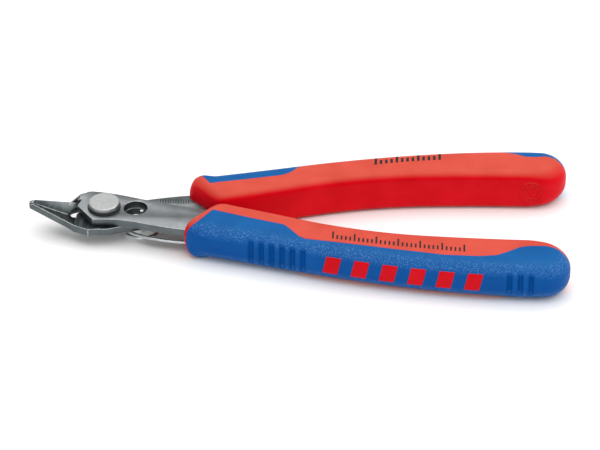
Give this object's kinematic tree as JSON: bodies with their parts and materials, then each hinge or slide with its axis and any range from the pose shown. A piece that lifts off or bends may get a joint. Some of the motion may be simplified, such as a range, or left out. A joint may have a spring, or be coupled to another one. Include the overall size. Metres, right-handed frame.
{
  "type": "flush cutter",
  "caption": "Small spring-opened flush cutter for electronics work: lapped steel levers on a rivet, upswept jaws and two-part moulded grips.",
  "frame": {"origin": "under the middle of the closed tool, on the surface that the grips lie on", "axes": "+X from the jaws to the rear ends of the grips, +Y towards the lower lever's grip, +Z out of the plates on the rivet head's side"},
  "size_m": [0.125, 0.0494, 0.01],
  "materials": {
    "lever_steel": "burnished",
    "rivet_steel": "satin, turned",
    "washer_steel": "dark",
    "spring_wire": "bright drawn wire",
    "grip_hard": "smooth satin",
    "grip_soft": "soft, finely textured"
  },
  "bodies": {
    "upper_lever": {"upper_lever": "lever_steel", "pivot_rivet": "rivet_steel", "rivet_washer": "washer_steel", "rear_washer": "washer_steel", "rivet_collar": "rivet_steel", "opening_spring": "spring_wire", "near_grip_core": "grip_hard", "near_grip_soft": "grip_soft"},
    "lower_lever": {"lower_lever": "lever_steel", "far_grip_core": "grip_hard", "far_grip_soft": "grip_soft"}
  },
  "joints": [
    {"name": "lever_pivot", "type": "hinge", "parent": "upper_lever", "child": "lower_lever", "pos_m": [-0.045, 0, 0.005], "axis": [0, 0, 1], "range_deg": [0, 12], "stiffness_Nm_per_rad": 0.9, "springref_deg": 21.77, "deforming": ["opening_spring"]}
  ]
}
